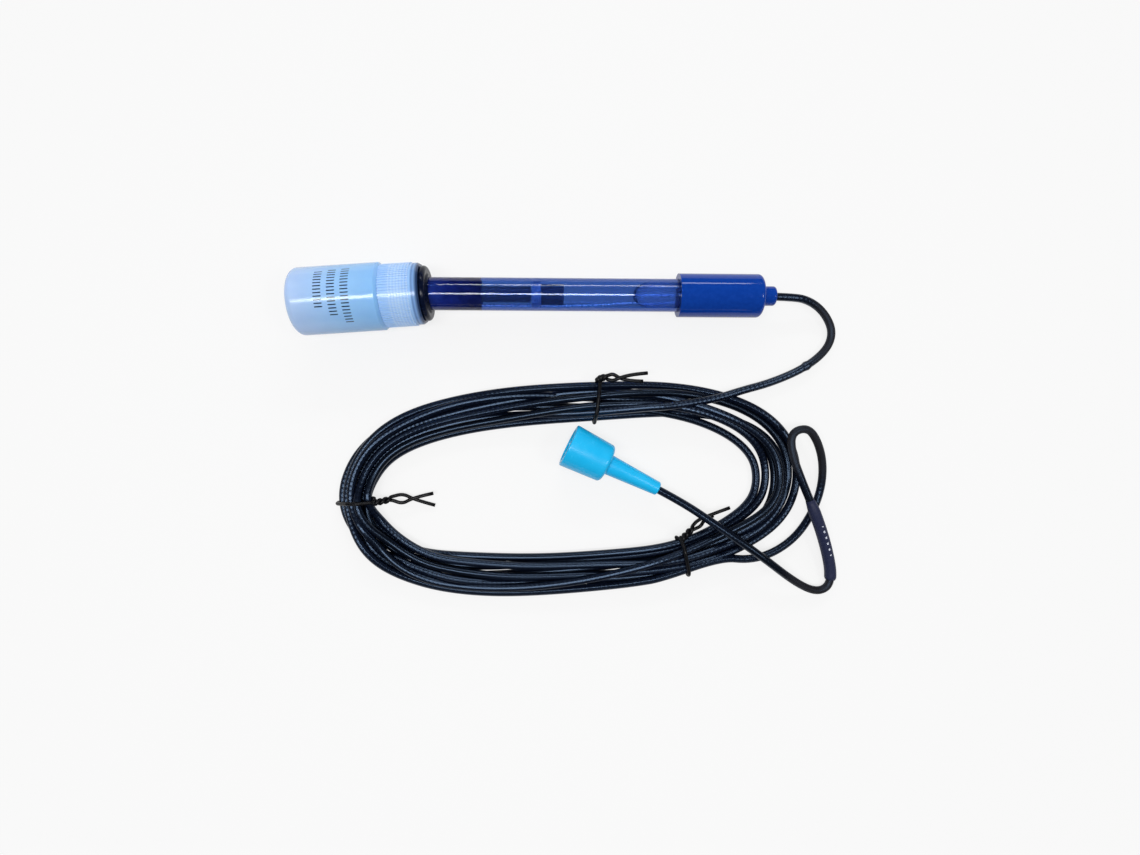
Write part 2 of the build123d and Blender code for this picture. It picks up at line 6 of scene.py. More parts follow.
import bmesh
import bpy
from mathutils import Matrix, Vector


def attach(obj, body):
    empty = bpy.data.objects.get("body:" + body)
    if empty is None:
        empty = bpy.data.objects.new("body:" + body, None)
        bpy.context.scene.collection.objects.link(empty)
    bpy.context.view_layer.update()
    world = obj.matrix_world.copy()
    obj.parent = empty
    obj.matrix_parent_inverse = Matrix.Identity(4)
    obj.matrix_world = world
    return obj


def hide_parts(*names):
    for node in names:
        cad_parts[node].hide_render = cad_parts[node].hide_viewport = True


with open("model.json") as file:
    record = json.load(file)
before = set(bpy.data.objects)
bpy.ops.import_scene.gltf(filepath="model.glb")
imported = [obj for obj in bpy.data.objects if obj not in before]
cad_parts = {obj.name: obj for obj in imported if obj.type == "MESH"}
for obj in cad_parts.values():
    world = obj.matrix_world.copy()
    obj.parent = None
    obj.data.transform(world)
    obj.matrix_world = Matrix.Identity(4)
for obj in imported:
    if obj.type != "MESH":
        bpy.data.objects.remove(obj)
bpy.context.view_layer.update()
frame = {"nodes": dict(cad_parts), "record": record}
nodes = frame["nodes"]
scene = bpy.context.scene
scene.view_settings.view_transform = "Standard"

# Lines of the object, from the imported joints
joints = {joint["name"]: joint for joint in frame["record"]["behaviour"]["joints"]}
seat = Vector(joints["collar_turn"]["pos_m"])
bottle_dir = -Vector(joints["collar_turn"]["axis"]).normalized()
shaft_dir = -Vector(joints["seal_slide"]["axis"]).normalized()
plug_seat = Vector(joints["coupling_turn"]["pos_m"])
plug_dir = -Vector(joints["coupling_turn"]["axis"]).normalized()

# Directions and units
above = Vector((0, 0, 1))
mm = 0.001

# Sizes of the cable and what is on it, in metres
cable_r = 0.0015
burr_height = 0.00035
sleeve_r = 0.0022
sleeve_start_r = cable_r + 0.0001
sleeve_end_r = sleeve_r - 0.0003
sleeve_taper = 0.004
tie_r = 0.0007

# Places along the shaft and along the plug, from the seat of each, in metres
cable_start = 0.1109
lead_straight = 0.1369
tail_straight = 0.0443
cable_end = 0.02085

# Lengths of the bottle and its collar, from the seat, in metres
bottle_length = 0.0469
collar_length = 0.0141


def metres(points):
    """Points given in millimetres, in metres."""
    return [Vector(p) * mm for p in points]


# Camera: straight above, at the height that gives the photograph's perspective
camera_mm = (12.2, -47.3, 251.0)
camera = bpy.data.objects.new("camera", bpy.data.cameras.new("camera"))
scene.collection.objects.link(camera)
camera.location = [c * mm for c in camera_mm]
camera.data.sensor_width = 36.0
camera.data.lens = 20.53
camera.data.clip_start = 0.01
scene.camera = camera


# Mesh helpers
def piece_of(name, bm):
    """A new piece of the object from a finished bmesh."""
    mesh = bpy.data.meshes.new(name)
    bm.to_mesh(mesh)
    bm.free()
    obj = bpy.data.objects.new(name, mesh)
    scene.collection.objects.link(obj)
    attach(obj, "electrode")
    return obj


def smooth_line(points, steps):
    """Points along the smooth line that the route's NURBS spline makes."""
    curve = bpy.data.curves.new("line", "CURVE")
    curve.dimensions = "3D"
    curve.resolution_u = steps
    spline = curve.splines.new("NURBS")
    spline.points.add(len(points) - 1)
    for spot, p in zip(spline.points, points):
        spot.co = (*p, 1.0)
    spline.order_u = 3
    spline.use_endpoint_u = True
    obj = bpy.data.objects.new("line", curve)
    scene.collection.objects.link(obj)
    bpy.context.view_layer.update()
    mesh = bpy.data.meshes.new_from_object(obj.evaluated_get(bpy.context.evaluated_depsgraph_get()))
    line = [v.co.copy() for v in mesh.vertices]
    bpy.data.objects.remove(obj)
    bpy.data.curves.remove(curve)
    bpy.data.meshes.remove(mesh)
    return line


def runs_along(line):
    """Distance from the start at each point of a line."""
    runs = [0.0]
    for a, b in zip(line, line[1:]):
        runs.append(runs[-1] + (b - a).length)
    return runs


def tube(name, line, radii, sides):
    """A closed mesh tube along a line, with its length and its turn as UV."""
    bm = bmesh.new()
    uv = bm.loops.layers.uv.new("along")
    rings = []
    side = None
    for i, (run, p) in enumerate(zip(runs_along(line), line)):
        ahead = (line[min(i + 1, len(line) - 1)] - line[max(i - 1, 0)]).normalized()
        side = ahead.orthogonal() if side is None else side - ahead * side.dot(ahead)
        side.normalize()
        up = ahead.cross(side)
        ring = []
        for n in range(sides):
            turn = 2 * math.pi * n / sides
            ring.append(bm.verts.new(p + (side * math.cos(turn) + up * math.sin(turn)) * radii[i]))
        rings.append((run, ring))
    for (run_a, a), (run_b, b) in zip(rings, rings[1:]):
        for n in range(sides):
            m = (n + 1) % sides
            face = bm.faces.new((a[n], a[m], b[m], b[n]))
            face.smooth = True
            around = (n / sides, (n + 1) / sides, (n + 1) / sides, n / sides)
            for loop, along, turn in zip(face.loops, (run_a, run_a, run_b, run_b), around):
                loop[uv].uv = (along, turn)
    bm.faces.new(list(reversed(rings[0][1])))
    bm.faces.new(rings[-1][1])
    return piece_of(name, bm)


def turned(name, start, ahead, profile, sides):
    """A closed solid of revolution, from a closed profile of (station, radius) in metres."""
    side = ahead.orthogonal().normalized()
    up = ahead.cross(side)
    bm = bmesh.new()
    rings = []
    for n in range(sides):
        turn = 2 * math.pi * n / sides
        out = side * math.cos(turn) + up * math.sin(turn)
        rings.append([bm.verts.new(start + ahead * s + out * r) for s, r in profile])
    for n in range(sides):
        a, b = rings[n], rings[(n + 1) % sides]
        for i in range(len(profile)):
            j = (i + 1) % len(profile)
            bm.faces.new((a[i], b[i], b[j], a[j])).smooth = True
    bmesh.ops.recalc_face_normals(bm, faces=bm.faces)
    return piece_of(name, bm)


# Cable: out of the cap to the coil
lead_route = [seat + shaft_dir * cable_start, seat + shaft_dir * lead_straight]
lead_route += metres([
    (103.4, 0.4, 5.2),
    (109.4, -4.0, 3.4),
    (113.0, -10.8, 1.9),
    (110.6, -17.8, 1.6),
    (101.6, -24.8, 2.4),
    (89.0, -30.2, 2.2),
    (77.6, -33.2, 4.0),
    (67.6, -36.4, 5.2),
])

# Cable: out of the coil, up into a loop, down to a tight turn on the floor and across the coil to the plug
tail_route = metres([
    (69.6, -96.4, 4.8),
    (80.0, -97.6, 4.2),
    (89.8, -95.2, 3.0),
    (98.8, -89.2, 1.9),
    (105.0, -80.4, 1.6),
    (108.4, -70.6, 2.2),
    (108.0, -60.8, 5.0),
    (104.6, -52.4, 8.6),
    (100.0, -47.2, 11.0),
    (93.4, -49.2, 11.8),
    (94.0, -57.4, 11.6),
    (98.4, -68.4, 10.8),
    (103.6, -79.6, 9.2),
    (108.6, -91.0, 5.4),
    (111.9, -102.2, 2.7),
    (111.3, -108.2, 2.1),
    (106.2, -110.2, 2.3),
    (97.2, -105.8, 5.4),
    (83.5, -95.3, 10.4),
    (69.0, -85.2, 10.4),
])
tail_route.append(plug_seat + plug_dir * tail_straight)
tail_route.append(plug_seat + plug_dir * cable_end)

# Cable: middle of the coil's bundle and its width there, counter-clockwise from the right, in mm
stations = [
    (93.2, -67.4, 21.5),
    (89.6, -53.9, 18.4),
    (75.8, -43.5, 15.5),
    (51.6, -37.2, 15.5),
    (19.8, -37.4, 14.5),
    (-7.1, -38.9, 13.5),
    (-32.3, -42.6, 14.5),
    (-52.0, -48.8, 15.6),
    (-63.8, -57.3, 13.6),
    (-69.8, -69.8, 13.0),
    (-68.8, -80.6, 13.0),
    (-62.2, -90.2, 14.8),
    (-51.8, -97.3, 16.0),
    (-34.0, -102.4, 17.0),
    (-7.1, -104.2, 16.7),
    (30.0, -101.8, 13.8),
    (53.5, -98.5, 14.0),
    (72.0, -91.6, 15.0),
    (88.4, -80.6, 15.5),
]

# Each turn's place across the bundle, from -1 inside to 1 outside, and its layer, by station.
# A turn begins at first_station and runs on past the end of the list, round to the list's first stations.
first_station = 3
turns = [
    {3: (-0.1, 2.2), 4: (-0.8, 1), 5: (-0.45, 0), 6: (-0.45, 0), 9: (-0.55, 0), 12: (-0.75, 0),
     13: (-1.15, 0), 14: (-1, 0.2), 15: (-1, 0.4), 16: (-1.03, 0.2), 18: (-1, 0), 19: (-1.14, 0),
     21: (-1, 0)},
    {3: (-0.6, 0), 4: (-0.25, 0), 5: (0.1, 0), 6: (0.5, 0), 8: (0.95, 0), 10: (1, 0), 11: (0.8, 0),
     12: (0.3, 0.2), 14: (0.3, 0), 15: (0.5, 0), 16: (0.75, 0), 17: (0.3, 0), 18: (-0.15, 0),
     19: (-0.4, 0), 20: (0.05, 0), 21: (0.1, 0)},
    {3: (-0.02, 0), 4: (0.3, 0), 5: (0.65, 0), 6: (0.7, 0.6), 7: (0.24, 1), 9: (0.05, 1), 12: (0.48, 1),
     13: (0.72, 1), 14: (0.6, 1), 15: (0.2, 1.5), 16: (-0.1, 1.3), 17: (-0.45, 1), 18: (-0.3, 1),
     19: (0, 1), 20: (0.22, 1), 21: (-0.75, 1.2)},
    {3: (0.45, 0), 5: (0.4, 0), 6: (0.05, 0), 9: (0.2, 0), 12: (0.6, 0), 13: (0.3, 0), 14: (0.0, 0),
     16: (0.1, 0), 17: (0.05, 0), 18: (0.1, 0), 19: (0.05, 0), 20: (0.35, 0), 21: (0.35, 0)},
    {3: (-1.05, 0.8), 4: (-1, 0), 9: (-1, 0), 12: (-0.3, 0), 14: (-0.35, 0), 15: (-0.5, 0.5),
     16: (-0.6, 0.3), 17: (-0.7, 0), 19: (-0.78, 0), 20: (-0.36, 0), 21: (-0.4, 0)},
    {3: (0.03, 1), 4: (-0.09, 1), 5: (-0.89, 1.2), 6: (-1, 1), 7: (-0.92, 1), 9: (-1.05, 1), 12: (-1, 0.8),
     13: (-0.68, 1), 14: (-0.48, 1), 15: (-0.15, 0.8), 16: (0.15, 0.2), 17: (0.3, 0.5), 18: (0.35, 0),
     19: (0.3, 0), 20: (0.78, 0), 21: (0.55, 0)},
    {3: (0.55, 1), 4: (0.35, 1), 5: (0.24, 1), 6: (-0.11, 1), 7: (-0.46, 1), 9: (-0.5, 1), 12: (-0.5, 1),
     13: (-0.1, 1), 14: (0.2, 1), 15: (0.35, 0.4), 16: (0.35, 0), 17: (0.7, 0), 18: (0.8, 0),
     19: (0.78, 0), 20: (1.1, 0), 21: (1, 0.3)},
    {3: (1.05, 1), 4: (0.89, 1), 5: (1.05, 0.8), 6: (1.1, 0.8), 7: (0.96, 1), 9: (0.62, 1), 10: (0.62, 1),
     12: (1.05, 0.5), 13: (1.12, 0), 14: (0.98, 0), 15: (0.94, 0.4), 16: (0.6, 1.2)},
]
last_turn_end = 18
tie_stations = (4.0, 9.5, 16.0)

# Strands in the bundle, in mm: heights of their middles, spare room at each side of the bundle, and distances
# between the middles of two: settled side by side, one on the other, and the most that the camera should see
strand_r = 1.5
strand_low = 1.55
layer_height = 2.5
coil_height = 4.0
spare_width = 1.2
settled_apart = 3.06
stacked_apart = 2.95
seen_apart = 1.75

# Lift of the strands over a tie's wire, in mm, and how far along the coil it fades, in stations
tie_lift = 1.5
tie_fade = 0.8

# Points of the coil to a station, and those of a turn where it is tight, away from the open right end
per_station = 3
per_turn = per_station * len(stations)
tight_steps = range(2, 44)

# How strands settle in a cross-section: all sweeps, those with a pull towards the strands' own places,
# the share of the way that one pull goes, how far one sweep sinks, and the lift where two coincide, in mm
settle_sweeps = 400
pull_sweeps = 330
pull = 0.04
sinking = 0.03
coincident = 0.01
nudge = 0.5

# How the coil's points are closed up and evened out: sweeps over the coil and within one cross-section
coil_sweeps = 5
closing_sweeps = 80
across_evenings = 3
height_evenings = 2


def keyed(keys, station):
    """Place and layer at a station, between those that are given."""
    marks = sorted(keys)
    low = max((m for m in marks if m <= station), default=marks[0])
    high = min((m for m in marks if m >= station), default=marks[-1])
    share = (station - low) / (high - low) if high > low else 0.0
    return [a + (b - a) * share for a, b in zip(keys[low], keys[high])]


def settle(strands, reach):
    """Strands of one cross-section moved apart until none lies in another, as [across, up] in mm."""
    wanted = [s[0] for s in strands]
    for sweep in range(settle_sweeps):
        if sweep < pull_sweeps:
            for s, u in zip(strands, wanted):
                s[0] += pull * (u - s[0])
                s[1] -= sinking
        for i, a in enumerate(strands):
            for b in strands[:i]:
                gap = Vector((a[0] - b[0], a[1] - b[1]))
                if gap.length < settled_apart:
                    push = Vector((0, nudge))
                    if gap.length > coincident:
                        push = gap.normalized() * (settled_apart - gap.length) / 2
                    a[0] += push.x
                    a[1] += push.y
                    b[0] -= push.x
                    b[1] -= push.y
        for s in strands:
            s[0] = min(max(s[0], -reach), reach)
            s[1] = max(s[1], strand_low)
    return strands


def close_up(places, widest):
    """Places across the bundle, with the inner ones moved until no gap is much wider than widest."""
    order = sorted(range(len(places)), key=lambda i: places[i])
    for sweep in range(closing_sweeps):
        for a, b in zip(order, order[1:]):
            excess = max(places[b] - places[a] - widest, 0.0)
            places[a] += excess / 2 if a != order[0] else 0.0
            places[b] -= excess / 2 if b != order[-1] else 0.0
    return places


def stack(places, heights, lowest):
    """Heights at which the strands rest when the lower ones are laid down first, in mm."""
    laid = {}
    for i in sorted(range(len(places)), key=lambda i: heights[i]):
        rests = [lowest]
        for j, z in laid.items():
            aside = abs(places[i] - places[j])
            if aside < stacked_apart:
                rests.append(z + math.sqrt(stacked_apart**2 - aside**2))
        laid[i] = max(rests)
    return [laid[i] for i in range(len(places))]


def eased(before, here, after, share):
    """A value on the smooth curve of three neighbours, with share from 0 to 1."""
    return ((1 - share) ** 2 * before + (1 + 2 * share - 2 * share**2) * here + share**2 * after) / 2


def averaged(values):
    """Values evened out with their neighbours, with both ends kept."""
    inner = [(a + 2 * b + c) / 4 for a, b, c in zip(values, values[1:], values[2:])]
    return [values[0], *inner, values[-1]]


# Strands of each turn at each station, as (across, up), in the order of the cable
sections = [{} for turn in turns]
for station in range(first_station, first_station + len(stations)):
    half = stations[station % len(stations)][2] / 2 - strand_r
    present = list(range(len(turns) if station < last_turn_end else len(turns) - 1))
    section = []
    for k in present:
        place, layer = keyed(turns[k], station)
        section.append([place * half, strand_low + layer_height * layer])
    for k, strand in zip(present, settle(section, half + spare_width)):
        sections[k][station] = strand
chain = [strand for turn in sections for station, strand in sorted(turn.items())]

# At each step of a turn: the bundle's middle, the way outward and how the camera sees height as breadth
frames = []
for step in range(per_turn):
    at = step / per_station + first_station
    near = round(at)
    share = at - near + 0.5
    before, here, after = (Vector(stations[(near + i) % len(stations)][:2]) for i in (-1, 0, 1))
    middle = eased(before, here, after, share)
    ahead = (after * share + here * (1 - 2 * share) - before * (1 - share)).normalized()
    outward = Vector((ahead.y, -ahead.x))
    lean = outward.dot(middle - Vector(camera_mm[:2])) / (camera_mm[2] - coil_height)
    frames.append((middle, outward, lean))

# Places of the coil's points across the bundle, close to each other and smooth along the cable
coil_points = per_station * (len(chain) - 2)
across, up = [], []
for step in range(coil_points):
    at = step / per_station
    near = min(max(round(at), 1), len(chain) - 2)
    share = at - near + 0.5
    across.append(eased(*(chain[near + i][0] for i in (-1, 0, 1)), share))
    up.append(eased(*(chain[near + i][1] for i in (-1, 0, 1)), share))
for sweep in range(coil_sweeps):
    for step in tight_steps:
        beside = range(step, coil_points, per_turn)
        lean = frames[step][2]
        seen = close_up([across[i] + lean * up[i] for i in beside], seen_apart)
        for i, u in zip(beside, seen):
            across[i] = u - lean * up[i]
    for evening in range(across_evenings):
        across = averaged(across)

# Points of the coil, with the strands laid on each other, and on the ties' wires
coil_route = [None] * coil_points
for step, (middle, outward, lean) in enumerate(frames):
    at = step / per_station + first_station
    near_tie = max(max(0.0, 1 - abs(at - tie) / tie_fade) for tie in tie_stations)
    beside = range(step, coil_points, per_turn)
    heights = stack([across[i] for i in beside], [up[i] for i in beside], strand_low + tie_lift * near_tie)
    for i, z in zip(beside, heights):
        spot = middle + outward * across[i]
        coil_route[i] = Vector((spot.x, spot.y, z)) * mm
for evening in range(height_evenings):
    heights = averaged([p.z for p in coil_route])
    for p, z in zip(coil_route, heights):
        p.z = z

cable_steps = 8
cable_line = smooth_line(lead_route + coil_route + tail_route, cable_steps)
tail_start = len(cable_line) - cable_steps * len(tail_route)


def nearest(spot, start=0):
    """Index of the point of the cable's line that is nearest to a spot, from start on."""
    return min(range(start, len(cable_line)), key=lambda i: (cable_line[i] - spot).length)


# The jacket has one small nick, with a raised burr, on the lead
nick = Vector((0.103, -0.0247, 0.0016))
cable_radii = [cable_r] * len(cable_line)
cable_radii[nearest(nick)] = cable_r + burr_height
cable = tube("cable", cable_line, cable_radii, sides=14)
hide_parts("cable_lead", "cable_coil", "cable_tail")

# Heat-shrunk sleeve on the tail, between two places on the route
sleeve_first = nearest((tail_route[11] + tail_route[12]) / 2, tail_start)
sleeve_last = nearest((tail_route[14] + tail_route[15]) / 2, tail_start)
sleeve_line = cable_line[sleeve_first : sleeve_last + 1]
sleeve_radii = []
for run in runs_along(sleeve_line):
    sleeve_radii.append(sleeve_start_r + (sleeve_r - sleeve_start_r) * min(1.0, run / sleeve_taper))
sleeve_radii[-1] = sleeve_end_r
sleeve = tube("sleeve", sleeve_line, sleeve_radii, sides=24)
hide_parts("heat_shrink_sleeve")

# Twist ties: one wire each, round the bundle, twisted together and spread into two tails
bundle_half = 0.011
bundle_top = 0.009
bundle_middle = 0.004
loop_steps = 40
loop_gap = 0.03
loop_shift = 0.0016
twist_turns = 1.5
twist_spread = 1.03


def tie(name, cad_node, middle, outward, twist, tails):
    """A wire round the strands that cross the plane at middle, with a twist and two tails in mm."""
    middle = Vector((*middle, 0.0)) * mm
    across = Vector((*outward, 0.0)).normalized()
    along = above.cross(across)
    strands = []
    for a, b in zip(cable_line, cable_line[1:]):
        da, db = (a - middle).dot(along), (b - middle).dot(along)
        if da * db <= 0 and da != db:
            hit = a.lerp(b, da / (da - db))
            if abs((hit - middle).dot(across)) < bundle_half and hit.z < bundle_top:
                strands.append(((hit - middle).dot(across), hit.z))
    twist = metres(twist)
    first = math.atan2(twist[0].z - bundle_middle, (twist[0] - middle).dot(across))
    reach = cable_r + tie_r
    loop = []
    for n in range(loop_steps + 1):
        share = n / loop_steps
        angle = first + 2 * math.pi * (loop_gap + (1 - 2 * loop_gap) * share)
        u, z = max(strands, key=lambda s: s[0] * math.cos(angle) + s[1] * math.sin(angle))
        u, z = u + reach * math.cos(angle), max(z + reach * math.sin(angle), tie_r)
        loop.append(middle + across * u + along * loop_shift * (share - 0.5) + Vector((0, 0, z)))
    core = smooth_line(twist, steps=10)
    wires = []
    for start in (0.0, math.pi):
        wire = []
        for i, p in enumerate(core):
            ahead = (core[min(i + 1, len(core) - 1)] - core[max(i - 1, 0)]).normalized()
            side = ahead.cross(above).normalized()
            up = side.cross(ahead)
            turn = start + 2 * math.pi * twist_turns * i / (len(core) - 1)
            wire.append(p + (side * math.cos(turn) + up * math.sin(turn)) * tie_r * twist_spread)
        wires.append(wire)
    tails = [metres(tail) for tail in tails]
    route = list(reversed(tails[0])) + list(reversed(wires[0])) + loop + wires[1] + tails[1]
    line = smooth_line(route, steps=5)
    wire = tube(name, line, [tie_r] * len(line), sides=10)
    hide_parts(cad_node)
    return wire


tie_left = tie(
    "tie_left", "twist_tie_left", (-69.1, -75.4), (-1, -0.09),
    [(-61.4, -75.6, 5.6), (-59.0, -75.4, 5.0), (-55.5, -74.3, 3.6)],
    [[(-51.5, -72.6, 2.4), (-47.6, -75.0, 1.4), (-39.7, -77.2, 0.9)],
     [(-51.5, -76.4, 3.2), (-47.6, -74.0, 3.6), (-40.0, -72.4, 2.8)]],
)
tie_top = tie(
    "tie_top", "twist_tie_top", (22.2, -37.5), (0.1, 1),
    [(22.9, -29.6, 7.0), (23.6, -28.5, 8.4), (26.2, -28.7, 9.2)],
    [[(28.2, -27.3, 9.4), (30.5, -28.9, 9.0), (34.6, -30.0, 9.2), (39.4, -30.1, 9.0)],
     [(28.2, -30.0, 9.4), (30.5, -28.9, 10.4), (35.7, -27.5, 9.4), (41.1, -27.0, 8.8)]],
)
tie_bottom = tie(
    "tie_bottom", "twist_tie_bottom", (55.5, -97.6), (0.25, -1),
    [(54.3, -89.6, 5.6), (56.0, -88.0, 5.0), (59.2, -85.2, 4.2)],
    [[(60.6, -82.6, 3.8), (65.0, -80.8, 3.4), (73.0, -77.8, 3.8)],
     [(62.2, -84.8, 3.4), (62.8, -82.4, 4.8), (66.5, -80.6, 5.0)]],
)

# Gel in the lower chamber of the shaft, round the stem, with a hollow upper face
gel_low, gel_high = -0.0105, 0.0212
gel_outer, gel_inner = 0.00503, 0.00305
gel_hollow = 0.0009
gel_steps = 10
gel_profile = [(gel_low, gel_inner), (gel_low, gel_outer)]
for i in range(gel_steps + 1):
    share = i / gel_steps
    dip = gel_hollow * math.sin(math.pi * share)
    gel_profile.append((gel_high - dip, gel_outer + (gel_inner - gel_outer) * share))
gel = turned("electrolyte_gel", seat, shaft_dir, gel_profile, sides=64)

# Dark screen inside the clear stem, above the junction, with a bevel at each end
screen_profile = [
    (-0.0095, 0.0019),
    (-0.0095, 0.002),
    (-0.0093, 0.00222),
    (0.0392, 0.00222),
    (0.0394, 0.002),
    (0.0394, 0.0019),
]
screen = turned("stem_screen", seat, shaft_dir, screen_profile, sides=48)

# Part of a noise's range that materials use
noise_low, noise_high = 0.3, 0.7


# Material helpers
def material(name, **sockets):
    """A material with sockets of its Principled shader set, as (material, its node tree, the shader)."""
    mat = bpy.data.materials.new(name)
    mat.use_nodes = True
    shader = mat.node_tree.nodes["Principled BSDF"]
    for socket, value in sockets.items():
        shader.inputs[socket.replace("_", " ")].default_value = value
    return mat, mat.node_tree, shader


def node(tree, kind, values=None, feeds=None):
    """A node with some settings and inputs given, and other inputs fed by sockets."""
    n = tree.nodes.new("ShaderNode" + kind)
    for key, value in (values or {}).items():
        if isinstance(key, str) and hasattr(n, key):
            setattr(n, key, value)
        else:
            n.inputs[key].default_value = value
    for key, socket in (feeds or {}).items():
        tree.links.new(socket, n.inputs[key])
    return n


def calc(tree, operation, a, b=0.0, c=0.0):
    """The result of a Math node on sockets and numbers."""
    n = node(tree, "Math", {"operation": operation})
    for i, value in enumerate((a, b, c)):
        if isinstance(value, (int, float)):
            n.inputs[i].default_value = value
        else:
            tree.links.new(value, n.inputs[i])
    return n.outputs[0]


def product(tree, first, *others):
    """The product of sockets and numbers."""
    for other in others:
        first = calc(tree, "MULTIPLY", first, other)
    return first


def largest(tree, first, *others):
    """The largest of sockets and numbers."""
    for other in others:
        first = calc(tree, "MAXIMUM", first, other)
    return first


def span(tree, value, start, end, low=0.0, high=1.0):
    """A value mapped smoothly from start-end to low-high."""
    values = {"interpolation_type": "SMOOTHSTEP", 1: start, 2: end, 3: low, 4: high}
    return node(tree, "MapRange", values, {0: value}).outputs[0]


def ramp(tree, value, *stops):
    """A colour by a value from 0 to 1, between stops of (value, colour)."""
    n = node(tree, "ValToRGB", feeds={0: value})
    spots = n.color_ramp.elements
    for spot, (place, colour) in zip((spots[0], spots[1]), stops):
        spot.position = place
        spot.color = (*colour, 1.0)
    for place, colour in stops[2:]:
        spots.new(place).color = (*colour, 1.0)
    return n.outputs[0]


def mixed(tree, share, a, b):
    """Two colours, each a socket or a plain colour, mixed by a share."""
    n = node(tree, "Mix", {"data_type": "RGBA"}, {0: share})
    for i, value in ((6, a), (7, b)):
        if isinstance(value, tuple):
            n.inputs[i].default_value = (*value, 1.0)
        else:
            tree.links.new(value, n.inputs[i])
    return n.outputs[2]


def surface(tree, share, a, b):
    """The material's surface is two shaders mixed by a share."""
    mix = node(tree, "MixShader", feeds={0: share, 1: a.outputs[0], 2: b.outputs[0]})
    tree.links.new(mix.outputs[0], tree.nodes["Material Output"].inputs["Surface"])


def relief(tree, shader, height, depth, strength=0.6):
    """Bump on a shader from a height of 0 to 1 and a depth in metres."""
    bump = node(tree, "Bump", {"Strength": strength, "Distance": depth}, {"Height": height})
    tree.links.new(bump.outputs[0], shader.inputs["Normal"])


def paint(mat, *names):
    """The material goes on CAD nodes and on pieces."""
    for name in names:
        obj = nodes[name] if isinstance(name, str) else name
        if not obj.data.materials:
            obj.data.materials.append(mat)
        for spot in obj.material_slots:
            spot.material = mat


def grain(tree, shader, scale, roughness, depth):
    """Fine noise in roughness and bump, at a scale in features per metre."""
    where = node(tree, "TexCoord")
    noise = node(tree, "TexNoise", {"Scale": scale, "Detail": 4.0}, {"Vector": where.outputs["Object"]})
    rough = span(tree, noise.outputs[0], noise_low, noise_high, *roughness)
    tree.links.new(rough, shader.inputs["Roughness"])
    relief(tree, shader, noise.outputs[0], depth)
    return noise.outputs[0]


def grained(name, pieces, scale, roughness, depth, colours, **sockets):
    """A material on CAD nodes and pieces, with one noise in its roughness, bump and colour."""
    mat, tree, shader = material(name, **sockets)
    noise = grain(tree, shader, scale, roughness, depth)
    colour = mixed(tree, span(tree, noise, noise_low, noise_high), *colours)
    tree.links.new(colour, shader.inputs["Base Color"])
    paint(mat, *pieces)


def see_through(name, piece, scale, roughness, depth, tint, **sockets):
    """A clear material on a CAD node, through which lamps shine with a tint, as its node tree."""
    mat, tree, shader = material(name, **sockets)
    grain(tree, shader, scale, roughness, depth)
    open_to_light = node(tree, "BsdfTransparent", {"Color": (*tint, 1.0)})
    surface(tree, node(tree, "LightPath").outputs["Is Shadow Ray"], shader, open_to_light)
    paint(mat, piece)
    return tree


def tube_place(tree):
    """Run along a tube in metres and turn round it from 0 to 1, of the shaded point."""
    uv = node(tree, "SeparateXYZ", feeds={0: node(tree, "UVMap").outputs[0]})
    return uv.outputs[0], uv.outputs[1]


def axis_place(tree, start, ahead, up):
    """Distance along an axis and angle round it, of the shaded point."""
    where = node(tree, "TexCoord")
    offset = node(tree, "VectorMath", {"operation": "SUBTRACT", 1: start}, {0: where.outputs["Object"]})
    dots = []
    for line in (ahead, up, ahead.cross(up)):
        dot = node(tree, "VectorMath", {"operation": "DOT_PRODUCT", 1: line}, {0: offset.outputs[0]})
        dots.append(dot.outputs["Value"])
    return dots[0], calc(tree, "ARCTAN2", dots[2], dots[1])


# Cable jacket: navy black over a fine braid that shows in most stretches, matt where it was handled
braid_strands = 5
braid_pitch = 0.0036
braid_depth = 0.00007
braid_least = 0.12
stretches_per_metre = 7.0
matt_fade = 0.012
matt_share = 0.8
glossy_roughness, matt_roughness = 0.27, 0.5
cable_runs = runs_along(cable_line)
matt_ends = [
    (nearest(lead_route[3]), nearest(lead_route[5])),
    (nearest(tail_route[6], tail_start), nearest(tail_route[10], tail_start)),
    (nearest(tail_route[14], tail_start), nearest(tail_route[17], tail_start)),
]
cable_mat, tree, shader = material("cable_jacket", Specular_Tint=(0.45, 0.66, 1.0, 1.0))
run, turn = tube_place(tree)
along = calc(tree, "MULTIPLY", run, 2 * math.pi / braid_pitch)
waves = []
for hand in (1, -1):
    phase = calc(tree, "MULTIPLY_ADD", turn, hand * 2 * math.pi * braid_strands, along)
    waves.append(calc(tree, "SINE", phase))
braid = calc(tree, "MULTIPLY_ADD", product(tree, *waves), 0.5, 0.5)
along_only = {"noise_dimensions": "1D", "Scale": stretches_per_metre, "Detail": 1.0}
stretches = node(tree, "TexNoise", along_only, {"W": run})
shown = span(tree, stretches.outputs[0], 0.38, 0.5, braid_least, 1.0)
parts = []
for first, last in matt_ends:
    start, end = cable_runs[first], cable_runs[last]
    begun = span(tree, run, start - matt_fade, start)
    parts.append(product(tree, begun, span(tree, run, end, end + matt_fade, 1.0, 0.0)))
matt = largest(tree, *parts)
woven = product(tree, braid, shown, calc(tree, "SUBTRACT", 1.0, matt))
navy = mixed(tree, woven, (0.001, 0.0016, 0.0045), (0.004, 0.007, 0.02))
colour = mixed(tree, product(tree, matt, matt_share), navy, (0.016, 0.012, 0.011))
tree.links.new(colour, shader.inputs["Base Color"])
roughness = span(tree, matt, 0.0, 1.0, glossy_roughness, matt_roughness)
tree.links.new(roughness, shader.inputs["Roughness"])
relief(tree, shader, woven, braid_depth, strength=1.0)
paint(cable_mat, cable)

